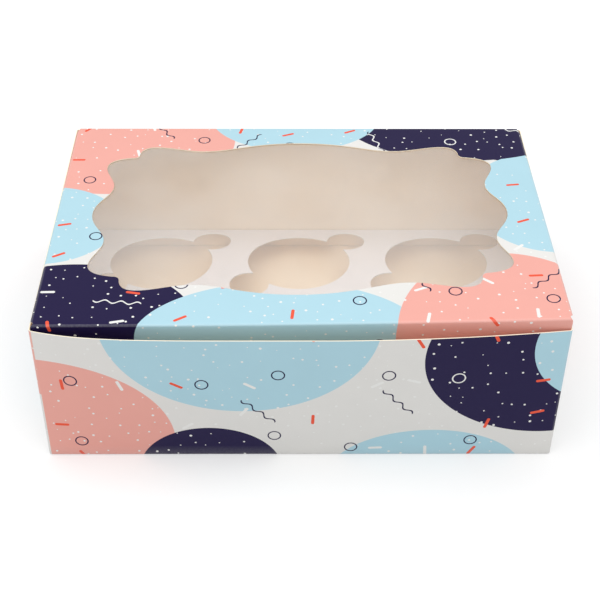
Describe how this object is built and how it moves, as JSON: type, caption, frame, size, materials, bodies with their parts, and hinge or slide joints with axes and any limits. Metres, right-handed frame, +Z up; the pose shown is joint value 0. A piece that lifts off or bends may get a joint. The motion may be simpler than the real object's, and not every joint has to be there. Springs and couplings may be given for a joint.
{
  "type": "cupcake box",
  "caption": "Folded paperboard cupcake box with a hinged lid, a wavy die-cut window closed by clear film, a tuck-in front flap and a bowed card insert with round cake holes.",
  "frame": {"origin": "middle of the base's underside, on the surface the box stands on", "axes": "+X to the box's right seen from the front, along its length; +Y from the front wall to the hinge at the back; +Z up"},
  "size_m": [0.24, 0.173, 0.0848],
  "materials": {
    "printed_board": "satin coated print outside, plain cream board inside",
    "printed_lid_board": "satin coated print outside, plain cream board inside",
    "white_card": "matte",
    "clear_film": "clear gloss film"
  },
  "bodies": {
    "tray": {"tray": "printed_board", "insert": "white_card"},
    "lid": {"lid": "printed_lid_board", "window_film": "clear_film"}
  },
  "joints": [
    {"name": "lid_hinge", "type": "hinge", "parent": "tray", "child": "lid", "pos_m": [0, 0.083, 0.0786], "axis": [-1, 0, 0], "range_deg": [0, 200]}
  ]
}
